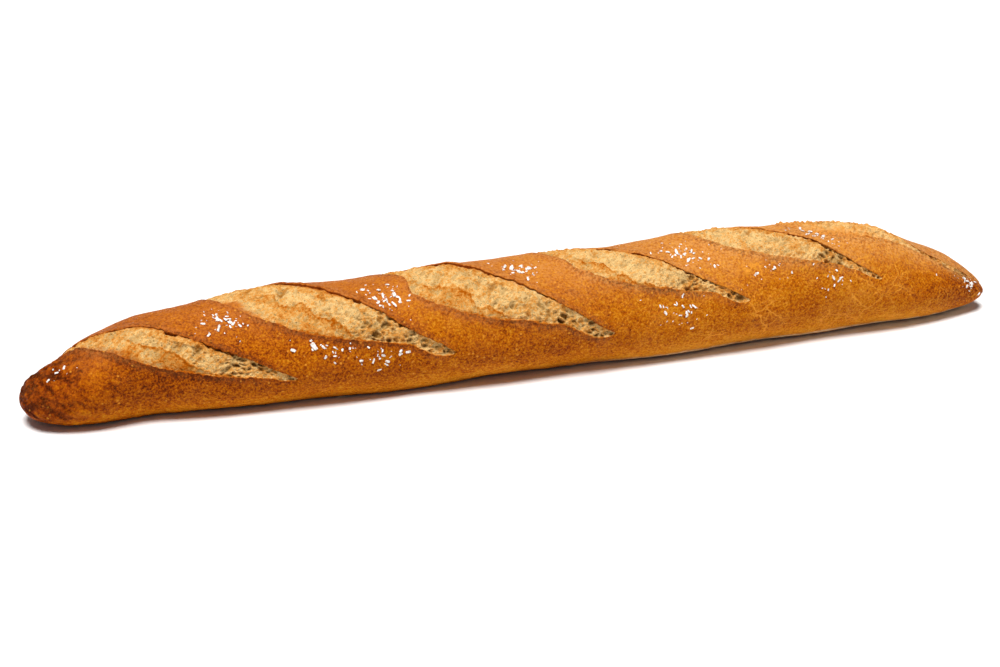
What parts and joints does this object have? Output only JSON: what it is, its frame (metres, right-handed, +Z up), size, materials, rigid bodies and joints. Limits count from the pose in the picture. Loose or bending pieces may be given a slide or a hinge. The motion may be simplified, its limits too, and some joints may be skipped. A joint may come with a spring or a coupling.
{
  "type": "baguette",
  "caption": "Long crusty loaf with rounded ends and a flat base, slashed across its top so that the crumb shows, with coarse salt on the crust.",
  "frame": {"origin": "on the surface the loaf lies on, under the middle of its bounding box", "axes": "+X along the loaf from its blunt end to its pointed end, +Y to the back, +Z up"},
  "size_m": [0.53, 0.0805, 0.0578],
  "materials": {
    "crust": "baked crust: golden amber to brown, satin, finely blistered, matt and pale in the torn slashes",
    "crumb": "open bread crumb: cream, matt, full of small cells, toasted on its ridges",
    "salt": "coarse salt: white, slightly clear and glossy"
  },
  "bodies": {
    "root": {"loaf": "crust", "salt_crystal_01": "salt", "salt_crystal_02": "salt", "salt_crystal_03": "salt", "salt_crystal_04": "salt", "salt_crystal_05": "salt", "salt_crystal_06": "salt", "salt_crystal_07": "salt", "salt_crystal_08": "salt", "salt_crystal_09": "salt", "salt_crystal_10": "salt", "salt_crystal_11": "salt", "salt_crystal_12": "salt", "salt_crystal_13": "salt", "salt_crystal_14": "salt", "salt_crystal_15": "salt", "salt_crystal_16": "salt", "salt_crystal_17": "salt", "salt_crystal_18": "salt", "salt_crystal_19": "salt", "salt_crystal_20": "salt", "salt_crystal_21": "salt", "salt_crystal_22": "salt", "salt_crystal_23": "salt", "salt_crystal_24": "salt", "salt_crystal_25": "salt", "salt_crystal_26": "salt", "salt_crystal_27": "salt", "salt_crystal_28": "salt", "salt_crystal_29": "salt", "salt_crystal_30": "salt", "salt_crystal_31": "salt", "salt_crystal_32": "salt", "salt_crystal_33": "salt", "salt_crystal_34": "salt", "salt_crystal_35": "salt", "salt_crystal_36": "salt", "salt_crystal_37": "salt", "salt_crystal_38": "salt", "salt_crystal_39": "salt", "salt_crystal_40": "salt", "salt_crystal_41": "salt", "salt_crystal_42": "salt", "salt_crystal_43": "salt", "salt_crystal_44": "salt", "salt_crystal_45": "salt", "salt_crystal_46": "salt", "salt_crystal_47": "salt", "salt_crystal_48": "salt"}
  },
  "joints": []
}
